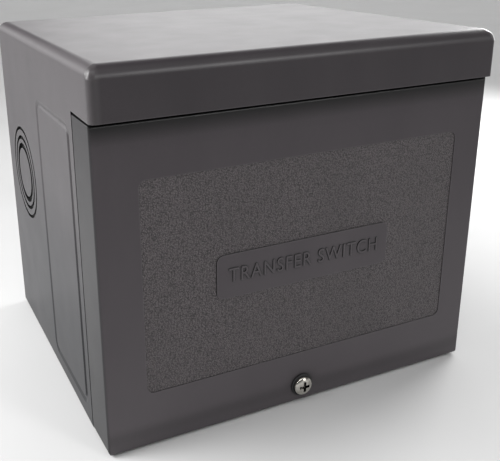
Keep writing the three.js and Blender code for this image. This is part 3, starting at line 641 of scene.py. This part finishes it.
def front_cover():
    r = 3.0
    face = rounded(-COVER_HALF, COVER_HALF, 0, COVER_TOP + r, (r, r, 0, 0))
    pan = prism("front_cover_fine", face, "y", COVER_FRONT, COVER_RIM)
    plan = rounded(-COVER_HALF, COVER_HALF, COVER_FRONT, COVER_RIM, (1.2, 1.2, 0, 0))
    both(pan, prism("plan", plan, "z", -1, COVER_TOP))
    foot = rounded(COVER_FRONT, COVER_RIM, 0, COVER_TOP, (2.2, 0, 0, 1.2))
    both(pan, prism("foot", foot, "x", -90, 90))
    cut(pan, wide_block(COVER_HALF - WALL, (COVER_BACK, RIM), (WALL, COVER_TOP + 1)))
    join(pan, wide_block(80.5, (COVER_FRONT + 1, COVER_BACK), (COVER_TOP - 8, SKIRT_Z + 11)))
    field = rounded(GRAIN_LEFT, GRAIN_RIGHT, GRAIN_LOW, GRAIN_HIGH, (3, 3, 3, 3))
    cut(pan, prism("grain", field, "y", COVER_FRONT - 1, COVER_FRONT + GRAIN_DEPTH))
    plate = rounded(-PLATE_HALF, PLATE_HALF, PLATE_LOW, PLATE_HIGH, (3, 3, 3, 3))
    join(pan, prism("plate", plate, "y", PLATE_FACE, COVER_FRONT + 1))
    cut(pan, rod("y", (0, SCREW_Z), 2.38, COVER_FRONT - 1, COVER_BACK + 1))
    words = lettering("TRANSFER SWITCH", 68, 0, PLATE_FACE, (PLATE_LOW + PLATE_HIGH) / 2, 0.3)
    join(pan, words, whole=True)
    clean(pan)
    round_edges(pan, 0.22, 3)
    for material in (COVER_SHELL, COVER_GRAIN, COVER_EDGE_SHADE):
        pan.data.materials.append(material)
    # The grained field's floor gets the grained finish, and the cover's top edge under the hood's lip gets
    # the near-black painted shade.
    for p in pan.data.polygons:
        x, y, z = p.center
        on_floor = abs(y - COVER_FRONT - GRAIN_DEPTH) < 0.05 and p.normal.y < -0.9
        if on_floor and GRAIN_LEFT < x < GRAIN_RIGHT and GRAIN_LOW < z < GRAIN_HIGH:
            p.material_index = 1
        elif z > COVER_TOP - 0.3 and y < COVER_FRONT + 1 and p.normal.z > 0.1:
            p.material_index = 2
    finish_piece(pan, "front_cover")


def lettering(words, width, x, y, z, depth):
    """Raised capitals, width across, standing depth in front of the plane y."""
    data = bpy.data.curves.new("letters", "FONT")
    data.body = words
    data.align_x = data.align_y = "CENTER"
    data.size = 10
    data.extrude = 1
    data.resolution_u = 5
    data.space_character = 1.12
    text = bpy.data.objects.new("letters", data)
    scene.collection.objects.link(text)
    obj = bpy.data.objects.new("letters", bpy.data.meshes.new_from_object(text))
    scene.collection.objects.link(obj)
    bpy.data.objects.remove(text)
    xs = [v.co.x for v in obj.data.vertices]
    scale = width / (max(xs) - min(xs))
    middle = (max(xs) + min(xs)) / 2
    for v in obj.data.vertices:
        out = depth if v.co.z > 0 else -0.15
        v.co = (x + (v.co.x - middle) * scale, y - out, z + v.co.y * scale * 1.15)
    bm = bmesh.new()
    bm.from_mesh(obj.data)
    bmesh.ops.remove_doubles(bm, verts=bm.verts, dist=0.001)
    bmesh.ops.recalc_face_normals(bm, faces=bm.faces)
    bm.to_mesh(obj.data)
    bm.free()
    return obj


# ---------------------------------------------------------------- screws


def cross_recess(obj, x, z, y0, y1, long, thin):
    for wide, tall in ((long, thin), (thin, long)):
        cut(obj, block((x - wide, x + wide), (y0, y1), (z - tall, z + tall)))


def cover_screw():
    """A pan-head screw, seated in front of the plate's face with room for its washer."""
    seat = PLATE_FACE - 0.5 - 0.2
    head, height, shank, length = 4.1, 2.0, 2.08, 9.5
    pitch, groove, rim = 0.794, 0.36, 0.55
    angles = [math.pi / 2 * i / 9 for i in range(10)]
    dome = [(head * math.sin(t), seat - rim - (height - rim) * math.cos(t)) for t in angles]
    dome[0] = (0, seat - height)
    profile = dome + [(head, seat - 0.1), (head - 0.1, seat), (shank, seat)]
    y = seat + 0.6
    while y + pitch < seat + length - 1.6:
        profile += [(shank - groove, y), (shank - 0.02, y + pitch * 0.5)]
        y += pitch
    profile += [(shank - groove, y), (shank - 0.5, seat + length - 1.2)]
    profile += [(0.5, seat + length), (0, seat + length)]
    screw = lathe("cover_screw_fine", profile, 0, SCREW_Z)
    cross_recess(screw, 0, SCREW_Z, seat - height - 1, seat - 0.45, 2.3, 0.62)
    clean(screw, 0.1)
    round_edges(screw, 0.08, 2, 45)
    finish_piece(screw, "cover_screw", LOOKS["screw_bright"])


# ---------------------------------------------------------------- the pieces inside


def square_ring(axis, a, b, u, v, depth):
    """A cutter for a shallow groove round a rectangular piece."""
    outer = rounded(u[0] - 1, u[1] + 1, v[0] - 1, v[1] + 1, (0, 0, 0, 0))
    inner = rounded(u[0] + depth, u[1] - depth, v[0] + depth, v[1] - depth, (0, 0, 0, 0))
    return prism("ring", outer, axis, a, b, inner)


def driver_slots(x, y):
    """A slot in each clamping screw of a terminal bar whose screw heads end at y."""
    screws = range(42, 107, 16)
    return [block((x - 0.45, x + 0.45), (y - 1, y + 0.8), (z - 2.4, z + 2.4)) for z in screws]


def relay_cuts():
    """The joint between the relay's case and base, its sunk label field and its vent."""
    joint = square_ring("y", -17.4, -16.8, (-76, -54), (76, 104), 0.5)
    field = prism("field", rounded(-73, -60, 79, 101, (1, 1, 1, 1), 4), "y", -37.3, -36.0)
    return [joint, field, rod("y", (-57, 101), 0.8, -37.3, -35.3, 20)]


def core_cuts():
    """The stacked plates of the transformer's core."""
    joints = range(31, 46, 2)
    return [square_ring("z", z - 0.15, z + 0.15, (-76, -52), (-37.3, -13.3), 0.3) for z in joints]


def grip_cuts():
    """Finger grooves round the lever's grip, which leans with the thrown rotor."""
    lean = Matrix.Translation((0, 14, 74)) @ Matrix.Rotation(math.radians(15), 4, "X")
    rings = []
    for y in (-67, -64, -61, -58):
        ring = ring_cut("y", y - 0.45, y + 0.45, (14, 0), 7.5, 5.5, 32)
        ring.data.transform(lean)
        rings.append(ring)
    return rings


def strip_cuts():
    """The grooves between the terminal strip's entries."""
    return [block((x - 0.3, x + 0.3), (-25.3, -23.5), (107, 121)) for x in (-70, -64, -58)]


DETAILS = {
    "neutral_bar": lambda: driver_slots(56, -24.5),
    "ground_bar": lambda: driver_slots(71.5, -16.5),
    "transfer_relay": relay_cuts,
    "transformer": core_cuts,
    "lever_grip": grip_cuts,
    "terminal_strip": strip_cuts,
}


COIL_Y, COIL_BORE, COIL_RADIUS, COIL_TURNS = -12, 7.3, 13.5, 31


def winding(node, low, high):
    """A coil of round wire, laid turn on turn about a bore."""
    pitch = (high - low) / COIL_TURNS
    valley, shoulder = COIL_RADIUS - 0.38, COIL_RADIUS - 0.1
    profile = [(COIL_BORE, high), (COIL_BORE, low)]
    for i in range(COIL_TURNS):
        foot = low + pitch * i
        turn = ((valley, 0.0), (shoulder, 0.2), (COIL_RADIUS, 0.5), (shoulder, 0.8))
        profile += [(r, foot + pitch * share) for r, share in turn]
    profile.append((valley, high))
    bm = bmesh.new()
    n = 48
    angles = [2 * math.pi * i / n for i in range(n)]
    rows = []
    for r, z in profile:
        rows.append([bm.verts.new((r * math.cos(t), COIL_Y + r * math.sin(t), z)) for t in angles])
    for one, two in zip(rows, rows[1:] + rows[:1]):
        for i in range(n):
            bm.faces.new((one[i], one[(i + 1) % n], two[(i + 1) % n], two[i]))
    finish_piece(from_bmesh(node + "_fine", bm), node, LOOKS["winding"])


PLANAR = 1.0


def from_cad(node, width=0.25):
    """A CAD node's own shape with its details cut and its edges rounded by width."""
    source = frame["nodes"][node]
    mesh = bpy.data.meshes.new(node + "_fine")
    bm = bmesh.new()
    bm.from_mesh(source.data)
    bmesh.ops.scale(bm, vec=(1000, 1000, 1000), verts=bm.verts)
    bmesh.ops.remove_doubles(bm, verts=bm.verts, dist=0.002)
    bmesh.ops.dissolve_limit(bm, angle_limit=math.radians(PLANAR), verts=bm.verts, edges=bm.edges)
    bmesh.ops.recalc_face_normals(bm, faces=bm.faces)
    bm.to_mesh(mesh)
    bm.free()
    obj = bpy.data.objects.new(node + "_fine", mesh)
    scene.collection.objects.link(obj)
    if node in DETAILS:
        clean(cut(obj, *DETAILS[node]()), PLANAR)
    if width:
        round_edges(obj, width, angle=28)
    finish_piece(obj, node, LOOKS[SLOTS[node]])


def inside():
    winding("coil_winding_upper", 96.4, 125.4)
    winding("coil_winding_lower", 22.6, 51.6)
    done = {"enclosure_body", "front_cover", "cover_screw", "coil_winding_upper", "coil_winding_lower"}
    for node in frame["nodes"]:
        if node in done:
            continue
        if node.startswith("lead_"):
            from_cad(node, 0)
        else:
            from_cad(node)


# ---------------------------------------------------------------- stage and lights


def stage():
    """A pale floor, in metres, a hair under the box's foot."""
    bm = bmesh.new()
    size, level = 60.0, -0.0002
    corners = ((-size, -size), (size, -size), (size, size), (-size, size))
    bm.faces.new([bm.verts.new((x, y, level)) for x, y in corners])
    floor = from_bmesh("stage_floor", bm)
    floor.data.materials.append(floor_material())


def sun(name, azimuth, elevation, strength, spread):
    """Light from azimuth degrees, measured from +Y towards +X, over a wide part of the sky."""
    data = bpy.data.lights.new(name, "SUN")
    data.energy = strength
    data.angle = math.radians(spread)
    obj = bpy.data.objects.new(name, data)
    a, e = math.radians(azimuth), math.radians(elevation)
    to_light = Vector((math.sin(a) * math.cos(e), math.cos(a) * math.cos(e), math.sin(e)))
    obj.rotation_euler = to_light.to_track_quat("Z", "Y").to_euler()
    scene.collection.objects.link(obj)


def softbox(name, at, towards, size, power):
    """A round lamp, in metres and watts."""
    data = bpy.data.lights.new(name, "AREA")
    data.shape = "DISK"
    data.size = size
    data.energy = power
    obj = bpy.data.objects.new(name, data)
    obj.location = at
    obj.rotation_euler = (Vector(at) - Vector(towards)).to_track_quat("Z", "Y").to_euler()
    scene.collection.objects.link(obj)


# name, azimuth, elevation, strength, spread
SUNS = [
    ("behind_right", 30, 20, 0.75, 40),
    ("behind_left", -35, 20, 0.95, 40),
    ("front_right_low", 152, 22, 1.1, 12),
    ("front_left_high", -150, 60, 0.9, 40),
    ("front_right_high", 140, 55, 0.3, 40),
]
# name, place, the point it faces, size, power
LAMPS = [
    ("left", (-0.45, 0.05, 0.38), (-0.085, 0.0, 0.09), 0.3, 4.4),
    ("right", (0.52, 0.16, 0.26), (0.085, 0.0, 0.07), 0.3, 3.4),
]
# The sky's strength fades from the horizon upwards.
SKY = {"From Min": 0.05, "From Max": 0.35, "To Min": 0.6, "To Max": 0.1}


def lights():
    world = bpy.data.worlds.new("world")
    world.use_nodes = True
    tree = world.node_tree
    parts = tree.nodes.new("ShaderNodeSeparateXYZ")
    fade = tree.nodes.new("ShaderNodeMapRange")
    fade.interpolation_type = "SMOOTHSTEP"
    for key, value in SKY.items():
        fade.inputs[key].default_value = value
    tree.links.new(tree.nodes.new("ShaderNodeTexCoord").outputs["Generated"], parts.inputs["Vector"])
    tree.links.new(parts.outputs["Z"], fade.inputs["Value"])
    tree.links.new(fade.outputs["Result"], tree.nodes["Background"].inputs["Strength"])
    tree.nodes["Background"].inputs["Color"].default_value = (1, 1, 1, 1)
    scene.world = world
    scene.view_settings.view_transform = "Standard"
    for settings in SUNS:
        sun(*settings)
    for settings in LAMPS:
        softbox(*settings)


enclosure()
front_cover()
cover_screw()
inside()
stage()
lights()
